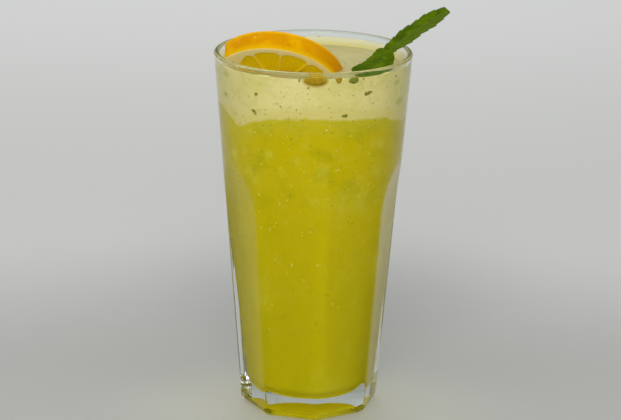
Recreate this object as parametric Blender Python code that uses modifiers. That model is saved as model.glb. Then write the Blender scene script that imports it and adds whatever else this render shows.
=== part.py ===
"""A tall faceted glass tumbler of lemonade with froth, an orange slice and two mint leaves.

Metres, +Z up. The origin is the middle of the tumbler's foot, on the table.
The photographed side faces -Y.
"""
import math

import bmesh
import bpy
import numpy as np
from mathutils import Vector

for old in list(bpy.data.objects):
    bpy.data.objects.remove(old, do_unlink=True)

MM = 0.001
GAP = 0.3 * MM  # between pieces that touch
MERGE = 0.00002

# Tumbler
GLASS_HEIGHT = 156.2 * MM
FOOT_RADIUS = 29.7 * MM  # of the tapered body, at the table
RIM_RADIUS = 42.0 * MM
FOOT_ROUNDING = 3.0 * MM
FLOOR_HEIGHT = 7.3 * MM  # thickness of the solid base
FLOOR_RADIUS = 18.7 * MM  # of the inside, where its wall line meets the floor
MOUTH_RADIUS = 39.5 * MM  # of the inside, at the rim
FLOOR_CORNER = 6.5 * MM
GLASS_STEPS = 96

# Flat panels round the lower body, each with an arched top
PANELS = 8
FIRST_RIDGE_DEG = 7.0  # from -Y towards +X
RIDGE_WIDTH = 1.2 * MM
ARCH_FOOT = 90.0 * MM  # height where the sides of a panel start to close
ARCH_TOP = 110.5 * MM
ARCH_POINTS = 9

# Drink and froth
FROTH_BOTTOM = 135.7 * MM
FROTH_TOP = 150.2 * MM
FROTH_FILM_TOP = 153.4 * MM  # froth that clings to the wall
# Where the froth hangs low in the drink: azimuth, depth and width in radians
FROTH_DIPS = ((-53.0, 6.0 * MM, 0.24), (85.0, 5.2 * MM, 0.7))
FROTH_RIPPLE = 0.5 * MM
FILM_FOOT_RISE = 0.7 * MM
BULGE = 0.7 * MM  # of the peel, over half the wheel's thickness
DRINK_STEPS = 64

# Orange slice, a wheel that leans towards the front, sunk in the froth
SLICE_RADIUS = 28.3 * MM
SLICE_THICKNESS = 9.3 * MM
SLICE_CENTRE = Vector((-14.6, -1.6, 144.4)) * MM
SLICE_FACE = Vector((-0.12, -0.74, -0.66)).normalized()  # the way its front face looks
SLICE_LEFT = -36.9 * MM  # its side is cut straight here, along the wall
FLESH_SHARE = 0.87  # radius of the flesh over the wheel's
SEGMENTS = 12
SEGMENT_TURN = 0.15  # of one segment, from the wheel's right to the middle of a segment
SEGMENT_GAP_DEG = 2.6
SEGMENT_DEPTH = 0.5 * MM
SEGMENT_CORE = 3.0 * MM
SLICE_STEPS = 72

# Mint leaves
LEAF_THICKNESS = 0.6 * MM
LEAF_ROWS = 40
LEAF_COLUMNS = 8
STEM_RADIUS = 0.9 * MM
LEAF_ROOM_ABOVE = 4.0 * MM  # of froth film left out over the leaf that lies against the wall


def outer_radius(z):
    return FOOT_RADIUS + (RIM_RADIUS - FOOT_RADIUS) * z / GLASS_HEIGHT


def inner_radius(z):
    share = (z - FLOOR_HEIGHT) / (GLASS_HEIGHT - FLOOR_HEIGHT)
    return FLOOR_RADIUS + (MOUTH_RADIUS - FLOOR_RADIUS) * share


def arc(centre, radius, start_deg, end_deg, count):
    """Points of a round stretch in the X-Z plane, both ends included."""
    angles = np.radians(np.linspace(start_deg, end_deg, count))
    return [(centre[0] + radius * math.cos(a), centre[1] + radius * math.sin(a)) for a in angles]


def floor_corner(inset, count=6):
    """The rounded corner of the inside, from the wall down to the floor, moved in by inset."""
    lean = math.degrees(math.atan2(MOUTH_RADIUS - FLOOR_RADIUS, GLASS_HEIGHT - FLOOR_HEIGHT))
    end_height = FLOOR_HEIGHT + FLOOR_CORNER * (1 - math.sin(math.radians(lean)))
    centre_radius = inner_radius(end_height) - FLOOR_CORNER * math.cos(math.radians(lean))
    centre = (centre_radius, FLOOR_HEIGHT + FLOOR_CORNER)
    return arc(centre, FLOOR_CORNER - inset, -lean, -90.0, count)


def make_material(name, colour, roughness, metallic=0.0, alpha=1.0):
    material = bpy.data.materials.new(name)
    material.use_nodes = True
    shader = material.node_tree.nodes["Principled BSDF"]
    shader.inputs["Base Color"].default_value = (*colour, 1.0)
    shader.inputs["Roughness"].default_value = roughness
    shader.inputs["Metallic"].default_value = metallic
    shader.inputs["Alpha"].default_value = alpha
    return material


def make_collection(name):
    collection = bpy.data.collections.new(name)
    bpy.context.scene.collection.children.link(collection)
    return collection


def add_object(name, mesh, collection, material=None):
    obj = bpy.data.objects.new(name, mesh)
    collection.objects.link(obj)
    if material is not None:
        obj.data.materials.append(material)
    if collection == cutters:
        obj.hide_render = True
        obj.display_type = "WIRE"
    return obj


def add_turned(name, profile, steps, collection, material=None):
    """A profile of (radius, height) points, turned about Z with a Screw modifier."""
    mesh = bpy.data.meshes.new(name)
    points = [(x, 0.0, z) for x, z in profile]
    mesh.from_pydata(points, [(i, i + 1) for i in range(len(points) - 1)], [])
    obj = add_object(name, mesh, collection, material)
    screw = obj.modifiers.new("turn", "SCREW")
    screw.axis = "Z"
    screw.angle = 2 * math.pi
    screw.steps = steps
    screw.render_steps = steps
    screw.use_merge_vertices = True
    screw.merge_threshold = MERGE
    screw.use_smooth_shade = True
    return obj


def settle(obj):
    """Turns the object's modifiers into its own mesh, and a curve into a welded mesh."""
    graph = bpy.context.evaluated_depsgraph_get()
    mesh = bpy.data.meshes.new_from_object(obj.evaluated_get(graph))
    welded = bmesh.new()
    welded.from_mesh(mesh)
    bmesh.ops.remove_doubles(welded, verts=welded.verts, dist=MERGE)
    welded.to_mesh(mesh)
    welded.free()
    if obj.type == "CURVE":
        name, collection, place = obj.name, obj.users_collection[0], obj.matrix_world.copy()
        bpy.data.objects.remove(obj, do_unlink=True)
        obj = add_object(name, mesh, collection)
        obj.matrix_world = place
        return obj
    obj.modifiers.clear()
    obj.data = mesh
    return obj


def cut(obj, other, operation="DIFFERENCE", solver="EXACT"):
    boolean = obj.modifiers.new(other.name, "BOOLEAN")
    boolean.operation = operation
    boolean.solver = solver
    boolean.object = other
    return boolean


def add_block(name, low, high, collection):
    """A box between two corners."""
    mesh = bpy.data.meshes.new(name)
    block = bmesh.new()
    bmesh.ops.create_cube(block, size=1.0)
    block.to_mesh(mesh)
    block.free()
    obj = add_object(name, mesh, collection)
    low, high = Vector(low), Vector(high)
    obj.location = (low + high) / 2
    obj.scale = high - low
    return obj


def tumbler_profile():
    """Floor of the inside, up the wall, over the lip, down the outside and under the foot."""
    lip_inner = MOUTH_RADIUS - 0.1 * MM
    lip_outer = RIM_RADIUS
    lip = (lip_outer - lip_inner) / 2
    lip_centre = ((lip_inner + lip_outer) / 2, GLASS_HEIGHT - lip)
    foot_centre = (outer_radius(FOOT_ROUNDING) - FOOT_ROUNDING, FOOT_ROUNDING)
    profile = [(0.0, FLOOR_HEIGHT)]
    profile += floor_corner(0.0)[::-1]
    profile += [(inner_radius(z), z) for z in np.linspace(30 * MM, 140 * MM, 4)]
    profile += arc(lip_centre, lip, 180.0, 0.0, 7)
    profile += [(outer_radius(z), z) for z in np.linspace(140 * MM, 20 * MM, 5)]
    profile += arc(foot_centre, FOOT_ROUNDING, 0.0, -90.0, 5)
    profile += [(0.0, 0.0)]
    return profile


def panel_distance(z):
    """How far a panel lies from the axis: flat below the arch, then swelling out to the round body."""
    radius = outer_radius(z)
    half_width = radius * math.sin(math.pi / PANELS) - RIDGE_WIDTH / 2
    rise = min(max((z - ARCH_FOOT) / (ARCH_TOP - ARCH_FOOT), 0.0), 1.0)
    return math.sqrt(radius ** 2 - half_width ** 2 * (1 - rise ** 2))


def add_panel_cutter(name, azimuth):
    """What one flat panel takes off: its section in the radial plane, drawn out sideways."""
    far = RIM_RADIUS + 12 * MM
    low, high = -5 * MM, ARCH_TOP + 12 * MM
    reach = FOOT_RADIUS * 0.75
    heights = [low] + list(np.linspace(ARCH_FOOT, ARCH_TOP, ARCH_POINTS))
    section = [(far, low)] + [(panel_distance(z), z) for z in heights]
    section += [(outer_radius(ARCH_TOP) + 4 * MM, high), (far, high)]
    curve = bpy.data.curves.new(name, "CURVE")
    curve.dimensions = "2D"
    curve.fill_mode = "BOTH"
    curve.extrude = reach
    spline = curve.splines.new("POLY")
    spline.points.add(len(section) - 1)
    for point, (radius, z) in zip(spline.points, section):
        point.co = (radius, z, 0.0, 1.0)
    spline.use_cyclic_u = True
    obj = add_object(name, curve, cutters)
    obj.rotation_euler = (math.pi / 2, 0.0, azimuth - math.pi / 2)
    bpy.context.view_layer.update()
    return settle(obj)


def add_tumbler():
    glass = add_turned("glass", tumbler_profile(), GLASS_STEPS, parts, make_material(
        "clear_glass", (0.86, 0.90, 0.88), 0.05, alpha=0.35))
    first = math.radians(FIRST_RIDGE_DEG) + math.pi / PANELS
    for i in range(PANELS):
        cut(glass, add_panel_cutter(f"panel_cutter_{i}", first + i * 2 * math.pi / PANELS))
    return glass


def froth_line(x, y, radius):
    """How far the line between froth and drink lies above its mean height: uneven near the wall."""
    angle = np.arctan2(x, -y)
    line = FROTH_RIPPLE * (np.sin(3 * angle + 0.6) + 0.7 * np.sin(7 * angle + 2.0))
    for azimuth, depth, width in FROTH_DIPS:
        off = np.angle(np.exp(1j * (angle - math.radians(azimuth))))
        line = line - depth * np.exp(-(off / width) ** 2)
    near_wall = (np.hypot(x, y) / radius) ** 3
    return line * near_wall


def froth_relief(x, y):
    """Low swells of the froth's top."""
    swell = np.sin(x * 260 + 1.0) * np.cos(y * 210 + 0.4) + 0.6 * np.sin((x - y) * 430 + 2.2)
    return 0.22 * MM * swell


def move_heights(obj, change):
    """Raises each vertex of the object's mesh by change(x, y, z), and keeps it inside the wall."""
    mesh = obj.data
    places = np.empty(len(mesh.vertices) * 3)
    mesh.vertices.foreach_get("co", places)
    places = places.reshape(-1, 3)
    places[:, 2] += change(places[:, 0], places[:, 1], places[:, 2])
    radius = np.maximum(np.hypot(places[:, 0], places[:, 1]), MERGE)
    above_corner = places[:, 2] > FLOOR_HEIGHT + FLOOR_CORNER
    limit = np.where(above_corner, inner_radius(places[:, 2]) - GAP, radius)
    places[:, :2] *= np.minimum(limit / radius, 1.0)[:, None]
    mesh.vertices.foreach_set("co", places.ravel())
    mesh.update()


def line_rings(z):
    """Radii and height of the flat between froth and drink, from the axis to the wall."""
    wall = inner_radius(z) - GAP
    return [(wall * share, z) for share in (0.0, 0.35, 0.6, 0.78, 0.9, 1.0)]


def add_lemonade():
    profile = line_rings(FROTH_BOTTOM)
    profile += [(inner_radius(z) - GAP, z) for z in np.linspace(125 * MM, 30 * MM, 4)]
    profile += floor_corner(GAP)
    profile += [(0.0, FLOOR_HEIGHT + GAP)]
    drink = add_turned("lemonade", profile, DRINK_STEPS, parts, make_material(
        "lemonade", (0.46, 0.37, 0.0), 0.3))
    drink = settle(drink)
    near_top = FROTH_BOTTOM - MM
    move_heights(drink, lambda x, y, z: np.where(
        z > near_top, froth_line(x, y, inner_radius(FROTH_BOTTOM)), 0.0))
    return drink


def add_froth():
    bottom = FROTH_BOTTOM + GAP
    film = inner_radius(FROTH_FILM_TOP) - GAP
    top = [(film * share, FROTH_TOP) for share in (0.0, 0.14, 0.28, 0.42, 0.55, 0.67, 0.78, 0.87, 0.93)]
    film_foot = top[-1]
    profile = top
    profile += [(film_foot[0] + 1.2 * MM, FROTH_TOP + FILM_FOOT_RISE)]
    profile += [(film - 0.8 * MM, FROTH_TOP + 1.9 * MM), (film - 0.45 * MM, FROTH_FILM_TOP)]
    profile += [(inner_radius(z) - GAP, z) for z in np.linspace(FROTH_FILM_TOP, 139.5 * MM, 4)]
    profile += line_rings(bottom)[::-1]
    froth = add_turned("froth", profile, DRINK_STEPS, parts, make_material(
        "froth", (0.64, 0.58, 0.24), 0.5))
    froth = settle(froth)
    near_bottom, near_top, flat = bottom + MM, FROTH_TOP - MM, film_foot[0]
    move_heights(froth, lambda x, y, z: np.where(
        z < near_bottom, froth_line(x, y, inner_radius(FROTH_BOTTOM)),
        np.where((z > near_top) & (np.hypot(x, y) < flat), froth_relief(x, y), 0.0)))
    return froth


def wheel_profile(radius, thickness):
    """Half section of the fruit wheel: flat faces and a bulging peel with soft corners."""
    half = thickness / 2
    heights = [1.0, 0.8, 0.45, 0.0, -0.45, -0.8, -1.0]
    rim = [(radius - BULGE * h ** 2 - (0.5 * MM if abs(h) == 1.0 else 0.0), half * h) for h in heights]
    return [(0.0, half)] + rim + [(0.0, -half)]


def segment_outline():
    """One flesh segment of the wheel, a wedge with a round outer end."""
    reach = SLICE_RADIUS * FLESH_SHARE - 0.6 * MM
    half = math.pi / SEGMENTS - math.radians(SEGMENT_GAP_DEG)
    outer = arc((0.0, 0.0), reach, -math.degrees(half), math.degrees(half), 5)
    return [(SEGMENT_CORE, 0.0)] + outer


def add_segment_cutter(name, height):
    """Wedges that sink the flesh a little below the skins between the segments, on one face."""
    curve = bpy.data.curves.new(name, "CURVE")
    curve.dimensions = "2D"
    curve.fill_mode = "BOTH"
    curve.extrude = SEGMENT_DEPTH
    for i in range(SEGMENTS):
        turn = (i + SEGMENT_TURN) * 2 * math.pi / SEGMENTS
        outline = segment_outline()
        spline = curve.splines.new("POLY")
        spline.points.add(len(outline) - 1)
        for point, (x, y) in zip(spline.points, outline):
            across = (x * math.cos(turn) - y * math.sin(turn), x * math.sin(turn) + y * math.cos(turn))
            point.co = (*across, 0.0, 1.0)
        spline.use_cyclic_u = True
    obj = add_object(name, curve, cutters)
    lay_wheel(obj)
    obj.location += obj.rotation_euler.to_matrix() @ Vector((0.0, 0.0, height))
    bpy.context.view_layer.update()
    return settle(obj)


def lay_wheel(obj):
    """Puts a wheel that was made flat about Z where the orange slice is."""
    obj.location = SLICE_CENTRE
    obj.rotation_euler = SLICE_FACE.to_track_quat("Z", "Y").to_euler()


def add_slice():
    """The wheel, its segments, its straight side and its edge against the wall of the tumbler."""
    wheel = add_turned("orange_slice", wheel_profile(SLICE_RADIUS, SLICE_THICKNESS),
                       SLICE_STEPS, parts, make_material("orange_peel", (0.75, 0.36, 0.01), 0.45))
    lay_wheel(wheel)
    half = SLICE_THICKNESS / 2
    cut(wheel, add_segment_cutter("front_segments", half))
    cut(wheel, add_segment_cutter("back_segments", -half))
    return wheel


def add_wheel_limit(name, inset):
    """The space that the wheel may take: inside the wall and right of its straight side."""
    heights = np.linspace(GLASS_HEIGHT + 40 * MM, FLOOR_HEIGHT + 20 * MM, 4)
    profile = [(0.0, heights[0])] + [(inner_radius(z) - inset, z) for z in heights]
    profile += [(0.0, heights[-1])]
    limit = settle(add_turned(name, profile, GLASS_STEPS, cutters))
    side = add_block(name + "_side", (-80 * MM, -60 * MM, 0.0),
                     (SLICE_LEFT - GAP + inset, 60 * MM, 0.25), cutters)
    cut(limit, side)
    return settle(limit)


def add_slice_room():
    """The hollow that the wheel leaves in froth and drink, one gap larger all round."""
    room = add_turned("slice_room", wheel_profile(SLICE_RADIUS + GAP, SLICE_THICKNESS + 2 * GAP),
                      SLICE_STEPS, cutters)
    lay_wheel(room)
    cut(room, add_wheel_limit("room_limit", 0.0), "INTERSECT")
    return room


class Leaf:
    """A thin wavy leaf along a bent rib, with toothed edges.

    rib: three points of the rib, base to tip; across: the way from the rib to its left edge;
    half_width: at the widest place; near_base and near_tip: how fast it widens and closes;
    fold: how much the halves rise from the rib; wave: height of the edge's waves.
    """

    def __init__(self, rib, across, half_width, near_base, near_tip, fold, wave, teeth, tooth_depth=0.1):
        self.rib = [np.array(p) * MM for p in rib]
        self.across = np.array(across) / np.linalg.norm(across)
        self.half_width = half_width * MM
        self.near_base, self.near_tip = near_base, near_tip
        self.fold, self.wave = fold, wave * MM
        self.teeth, self.tooth_depth = teeth, tooth_depth

    def width(self, along):
        widest = self.near_base / (self.near_base + self.near_tip)
        shape = (along / widest) ** self.near_base
        shape = shape * ((1 - along) / (1 - widest)) ** self.near_tip
        tooth = (along * self.teeth) % 1.0
        return self.half_width * shape * (1 + self.tooth_depth * (tooth - 0.5))

    def surface(self, along, side):
        """Places for arrays along (0 at the base, 1 at the tip) and side (-1 to 1)."""
        base, bend, tip = self.rib
        t = along[..., None]
        rib = base * (1 - t) ** 2 + bend * 2 * t * (1 - t) + tip * t ** 2
        run = (bend - base) * (1 - t) + (tip - bend) * t
        run = run / np.linalg.norm(run, axis=-1, keepdims=True)
        across = self.across - run * (run @ self.across)[..., None]
        across = across / np.linalg.norm(across, axis=-1, keepdims=True)
        up = np.cross(run, across)
        out = self.width(along) * side
        lift = self.fold * np.abs(out) + self.wave * side ** 2 * np.sin(along * 17 + side * 1.5)
        return rib + across * out[..., None] + up * lift[..., None]

    def mesh(self, name):
        along, side = np.meshgrid(np.linspace(0.012, 0.988, LEAF_ROWS),
                                  np.linspace(-1.0, 1.0, LEAF_COLUMNS + 1), indexing="ij")
        places = press_inside(self.surface(along, side))
        row = LEAF_COLUMNS + 1
        faces = []
        for i in range(LEAF_ROWS - 1):
            for j in range(LEAF_COLUMNS):
                a = i * row + j
                faces += [(a, a + row, a + row + 1), (a, a + row + 1, a + 1)]
        mesh = bpy.data.meshes.new(name)
        mesh.from_pydata(places.reshape(-1, 3).tolist(), [], faces)
        return mesh


def press_inside(places):
    """Turns a leaf's edge along the wall: points below the rim stay inside the tumbler."""
    limit = inner_radius(places[..., 2]) - GAP - LEAF_THICKNESS
    radius = np.hypot(places[..., 0], places[..., 1])
    below = places[..., 2] < GLASS_HEIGHT + 1 * MM
    share = np.where(below & (radius > limit), limit / radius, 1.0)
    pressed = places.copy()
    pressed[..., :2] *= share[..., None]
    return pressed


def add_leaf(name, leaf, below, above, collection, material=None):
    """The leaf's surface, thickened by below and above it."""
    obj = add_object(name, leaf.mesh(name), collection, material)
    solid = obj.modifiers.new("thickness", "SOLIDIFY")
    solid.thickness = below + above
    solid.offset = (above - below) / (above + below)
    obj.data.shade_smooth()
    return obj


def add_tube(name, points, radius, collection):
    """A stem: a curve with a round bevel and filled ends, made a mesh."""
    curve = bpy.data.curves.new(name, "CURVE")
    curve.dimensions = "3D"
    curve.bevel_depth = radius
    curve.bevel_resolution = 2
    curve.use_fill_caps = True
    spline = curve.splines.new("POLY")
    spline.points.add(len(points) - 1)
    for point, place in zip(spline.points, points):
        point.co = (*(Vector(place) * MM), 1.0)
    obj = add_object(name, curve, collection)
    bpy.context.view_layer.update()
    return settle(obj)


UPPER_LEAF = Leaf(rib=((30.0, -11.6, 158.4), (41.2, -7.4, 167.0), (56.2, -1.5, 175.0)),
                  across=(-0.36, 0.84, 0.34), half_width=4.6, near_base=0.3, near_tip=0.28,
                  fold=0.04, wave=0.3, teeth=8)
LOWER_RIB = ((30.3, -13.6, 160.3), (28.8, -25.9, 152.9), (15.6, -31.6, 155.2))
LOWER_ACROSS = (0.70, -0.41, -0.58)
LOWER_LEAF = Leaf(rib=LOWER_RIB, across=LOWER_ACROSS, half_width=4.8, near_base=0.3, near_tip=0.5,
                  fold=0.05, wave=0.3, teeth=7)
LOWER_ROOM = Leaf(rib=LOWER_RIB, across=LOWER_ACROSS, half_width=5.8, near_base=0.3, near_tip=0.5,
                  fold=0.05, wave=0.3, teeth=7, tooth_depth=0.0)
STEM = ((29.4, -8.6, 145.5), (29.5, -9.2, 152.0), (29.9, -10.6, 156.6), (31.2, -11.1, 159.2))


def add_mint():
    green = make_material("mint", (0.07, 0.14, 0.006), 0.5)
    half = LEAF_THICKNESS / 2
    upper = add_leaf("mint_leaf_upper", UPPER_LEAF, half, half, parts, green)
    cut(upper, add_tube("stem", STEM, STEM_RADIUS, cutters), "UNION")
    lower = add_leaf("mint_leaf_lower", LOWER_LEAF, half, half, parts,
                     make_material("mint_lower", (0.05, 0.12, 0.004), 0.5))
    return upper, lower


parts = make_collection("glass_of_lemonade")
cutters = make_collection("cutters")

tumbler = add_tumbler()
lemonade = add_lemonade()
froth = add_froth()
orange = add_slice()
cut(orange, add_wheel_limit("slice_limit", GAP), "INTERSECT")
slice_room = add_slice_room()
mint_upper, mint_lower = add_mint()
cut(lemonade, slice_room)
cut(froth, slice_room)
cut(froth, add_tube("stem_room", STEM, STEM_RADIUS + GAP, cutters))
cut(froth, add_leaf("leaf_room", LOWER_ROOM, LEAF_THICKNESS / 2 + GAP, LEAF_ROOM_ABOVE, cutters))
for piece in parts.objects:
    piece.data.shade_smooth()
    piece.data.set_sharp_from_angle(angle=math.radians(35))
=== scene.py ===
import math

import bpy
import numpy as np
from mathutils import Matrix, Vector


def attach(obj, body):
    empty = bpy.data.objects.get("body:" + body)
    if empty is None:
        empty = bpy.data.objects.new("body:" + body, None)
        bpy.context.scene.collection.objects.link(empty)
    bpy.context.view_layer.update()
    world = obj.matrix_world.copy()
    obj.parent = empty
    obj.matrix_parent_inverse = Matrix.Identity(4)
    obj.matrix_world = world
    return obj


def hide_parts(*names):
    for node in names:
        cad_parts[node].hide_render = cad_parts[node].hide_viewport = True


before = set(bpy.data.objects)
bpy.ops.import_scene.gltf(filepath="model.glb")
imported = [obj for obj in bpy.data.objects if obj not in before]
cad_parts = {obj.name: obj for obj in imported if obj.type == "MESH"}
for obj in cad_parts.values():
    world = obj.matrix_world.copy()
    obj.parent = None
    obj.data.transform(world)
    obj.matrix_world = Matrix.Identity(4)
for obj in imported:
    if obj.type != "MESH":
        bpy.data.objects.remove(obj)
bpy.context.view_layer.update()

mm = 0.001
print("frame loaded")

# The tumbler's lines, as in the solids. Rows are given as first, last and count.
tumbler = {
    "height": 156.2 * mm,
    "footRadius": 29.7 * mm,  # of the outside's taper, at the table
    "rimRadius": 42.0 * mm,
    "footRounding": 3.0 * mm,
    "floorHeight": 7.3 * mm,
    "floorRadius": 18.7 * mm,  # where the inside's taper meets the floor
    "mouthRadius": 39.5 * mm,
    "floorCorner": 6.5 * mm,
    "lipInset": 0.1 * mm,
    "panels": 8,
    "firstRidge": math.radians(7.0),  # from -Y towards +X
    "ridgeWidth": 1.2 * mm,
    "ridgeSoftness": 0.7 * mm,
    "archFoot": 90.0 * mm,
    "archTop": 110.5 * mm,
    "panelsBelow": 111.0 * mm,  # the outside is round above roundAbove, and blends between
    "roundAbove": 118.0 * mm,
    "hollow": 3.0 * mm,  # depth, under the foot
    "hollowPower": 0.2,
    "standingRing": 0.3 * mm,  # flat, round the hollow
    "floorRings": (0.0, 6.0 * mm, 10.0 * mm),
    "wallRows": (18.0 * mm, 150.0 * mm, 30),
    "archRows": (111.0 * mm, 84.0 * mm, 46),
    "panelRows": (82.0 * mm, 4.0 * mm, 34),
    "upperRows": (112.0 * mm, 24),  # from the lip down to here
    "stepsAround": 360,
}


def outerRadius(z):  # a straight taper from the foot to the rim
    return tumbler["footRadius"] + (tumbler["rimRadius"] - tumbler["footRadius"]) * z / tumbler["height"]


def innerRadius(z):  # a straight taper from the floor to the mouth
    share = (z - tumbler["floorHeight"]) / (tumbler["height"] - tumbler["floorHeight"])
    return tumbler["floorRadius"] + (tumbler["mouthRadius"] - tumbler["floorRadius"]) * share


def roundStretch(centre, radius, startDeg, endDeg, count):
    # centre + radius * (cosine, sine), from one angle to the other
    angles = np.radians(np.linspace(startDeg, endDeg, count))
    return np.stack([centre[0] + radius * np.cos(angles), centre[1] + radius * np.sin(angles)], 1)


def smoothStep(x, low, high):
    # t t (3 - 2 t), where t goes from 0 at low to 1 at high
    t = np.clip((x - low) / (high - low), 0, 1)
    return t * t * (3 - 2 * t)


def unit(vectors):  # divided by their own lengths
    return vectors / np.linalg.norm(vectors, axis=-1, keepdims=True)


# Meshes

sharpAngle = math.radians(50)


def meshFromQuads(name, places, quads):
    # the points that the quads use; a quad that names a corner twice becomes a triangle
    used, quads = np.unique(quads, return_inverse=True)
    quads = quads.reshape(-1, 4)
    keep = np.ones(quads.shape, dtype=bool)
    for corner in (1, 2, 3):
        keep[:, corner] = (quads[:, :corner] != quads[:, corner:corner + 1]).all(1)
    totals = keep.sum(1)
    mesh = bpy.data.meshes.new(name)
    mesh.vertices.add(len(used))
    mesh.vertices.foreach_set("co", places[used].ravel().astype(np.float32))
    mesh.loops.add(int(totals.sum()))
    mesh.loops.foreach_set("vertex_index", quads[keep].astype(np.int32))
    mesh.polygons.add(len(quads))
    mesh.polygons.foreach_set("loop_start", (np.cumsum(totals) - totals).astype(np.int32))
    mesh.update(calc_edges=True)
    mesh.shade_smooth()
    return mesh


def meshFromRows(name, rows, wrap=True):
    # rows of points joined by quads, round if wrap; a row that lies on one point becomes a pole
    count, around = rows.shape[:2]
    index = np.arange(count * around).reshape(count, around)
    here, after = (index, np.roll(index, -1, axis=1)) if wrap else (index[:, :-1], index[:, 1:])
    quads = np.stack([here[:-1], after[:-1], after[1:], here[1:]], -1).reshape(-1, 4)
    places = rows.reshape(-1, 3)
    if wrap:
        for row in (0, count - 1):
            if np.ptp(rows[row], axis=0).max() < 1e-9:
                quads = np.where(np.isin(quads, index[row]), index[row, 0], quads)
        a, b, c, d = (places[quads[:, i]] for i in range(4))
        volume = np.einsum("ij,ij->", a, np.cross(b, c) + np.cross(c, d))
        if volume < 0:  # so that faces look outwards
            quads = quads[:, ::-1]
    mesh = meshFromQuads(name, places, quads)
    mesh.set_sharp_from_angle(angle=sharpAngle)
    return mesh


def addPiece(mesh, finish, slot, *replaced):
    # a piece on the one body, with its finish, hiding the solids that it stands for; slot is not used
    piece = bpy.data.objects.new(mesh.name, mesh)
    bpy.context.scene.collection.objects.link(piece)
    mesh.materials.append(finish)
    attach(piece, "root")
    if replaced:
        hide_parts(*replaced)
    return piece


def turn(profile, steps, shape=None):
    # a (radius, height) profile carried round Z; shape changes the whole grid's radii and heights
    angle = np.linspace(0, 2 * math.pi, steps, endpoint=False)
    radius = np.repeat(profile[:, :1], steps, axis=1)
    height = np.repeat(profile[:, 1:2], steps, axis=1)
    grid = np.broadcast_to(angle, radius.shape)
    if shape is not None:
        radius, height = shape(radius, height, grid)
    return np.stack([radius * np.sin(grid), -radius * np.cos(grid), height], -1)


# Shader sums: a socket that takes part in Python expressions, and one method for all nodes


def operator(operation, reflected=False):
    # one Math node of two values; reflected is for a number that stands before the socket
    def run(self, other):
        first, second = (other, self) if reflected else (self, other)
        return self.nodes.sum(operation, first, second)
    return run


class Wire:
    def __init__(self, nodes, socket):
        self.nodes, self.socket = nodes, socket

    __add__, __radd__ = operator("ADD"), operator("ADD", True)
    __sub__, __rsub__ = operator("SUBTRACT"), operator("SUBTRACT", True)
    __mul__, __rmul__ = operator("MULTIPLY"), operator("MULTIPLY", True)
    __truediv__, __pow__ = operator("DIVIDE"), operator("POWER")

    def __neg__(self):
        return self * -1.0

    def __abs__(self):
        return self.nodes.sum("ABSOLUTE", self)


def plug(socket, value):  # a link, a colour or a number
    if isinstance(value, Wire):
        value.nodes.tree.links.new(value.socket, socket)
    elif socket.type == "RGBA":
        socket.default_value = (*value, 1.0)
    else:
        socket.default_value = value


class Nodes:
    def __init__(self, tree, colours=None):
        self.tree, self.colours = tree, colours

    def add(self, kind, settings=None, values=None, out=0):  # any node; gives its output
        node = self.tree.nodes.new(kind)
        for key, value in (settings or {}).items():
            setattr(node, key, value)
        for key, value in (values or {}).items():
            plug(node.inputs[key], value)
        return Wire(self, node.outputs[out])

    def sum(self, operation, first, second=None):  # one Math node
        values = {0: first} if second is None else {0: first, 1: second}
        return self.add("ShaderNodeMath", {"operation": operation}, values)

    def split(self, at):  # x, y and z of a vector
        outputs = self.add("ShaderNodeSeparateXYZ", {}, {0: at}).socket.node.outputs
        return [Wire(self, outputs[i]) for i in range(3)]

    def mix(self, share, first, second):  # of two colours, or their names in the piece's dictionary
        first, second = (self.colours[c] if isinstance(c, str) else c for c in (first, second))
        return self.add("ShaderNodeMix", {"data_type": "RGBA"}, {0: share, 6: first, 7: second}, 2)

    def ramp(self, value, low, high, top=1.0, kind="LINEAR"):  # 0 at low, top at high
        return self.add("ShaderNodeMapRange", {"interpolation_type": kind}, {
            "Value": value, "From Min": low, "From Max": high, "To Max": top}, "Result")

    def fade(self, value, low, high):  # 0 at low, 1 at high, smooth between
        return self.ramp(value, low, high, kind="SMOOTHSTEP")


class Finish(Nodes):
    def __init__(self, name, colours=None):
        self.material = bpy.data.materials.new(name)
        self.material.use_nodes = True
        super().__init__(self.material.node_tree, colours)
        self.shader = self.tree.nodes["Principled BSDF"]
        self.place = self.add("ShaderNodeTexCoord", out="Object")

    def noise(self, scale, detail=3.0, roughness=0.5, at=None):  # patches round 0.5
        return self.add("ShaderNodeTexNoise", {}, {
            "Vector": at or self.place, "Scale": scale, "Detail": detail, "Roughness": roughness}, "Fac")

    def cells(self, scale):  # distance to the nearest of strewn points
        return self.add("ShaderNodeTexVoronoi", {"feature": "F1"}, {
            "Vector": self.place, "Scale": scale}, "Distance")

    def spot(self, centre, size, soft=1.0):  # 1 at centre, 0 from size on
        moved = self.add("ShaderNodeMapping", {"vector_type": "TEXTURE"}, {
            "Vector": self.place, "Location": centre, "Scale": size})
        length = self.add("ShaderNodeVectorMath", {"operation": "LENGTH"}, {0: moved}, "Value")
        return self.fade(length, 1.0, 1.0 - soft)

    def bump(self, height, distance, strength=1.0):  # the normal that a height gives
        return self.add("ShaderNodeBump", {}, {
            "Height": height, "Distance": distance, "Strength": strength}, "Normal")

    def set(self, **values):  # the shader's sockets, by their names without spaces
        for socket in self.shader.inputs:
            key = socket.name.replace(" ", "")
            if key in values:
                plug(socket, values[key])
        return self.material


# Camera and light

view = {
    "distance": 1.0,
    "height": 0.386,
    "sideways": -0.35 * mm,
    "downDeg": 16.7,
    "rollDeg": 0.76,
    "focalPixels": 2430.0,
    "imageWidth": 621.0,
    "sensor": 36.0,
    "near": 0.05, "far": 20.0,
}


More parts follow.
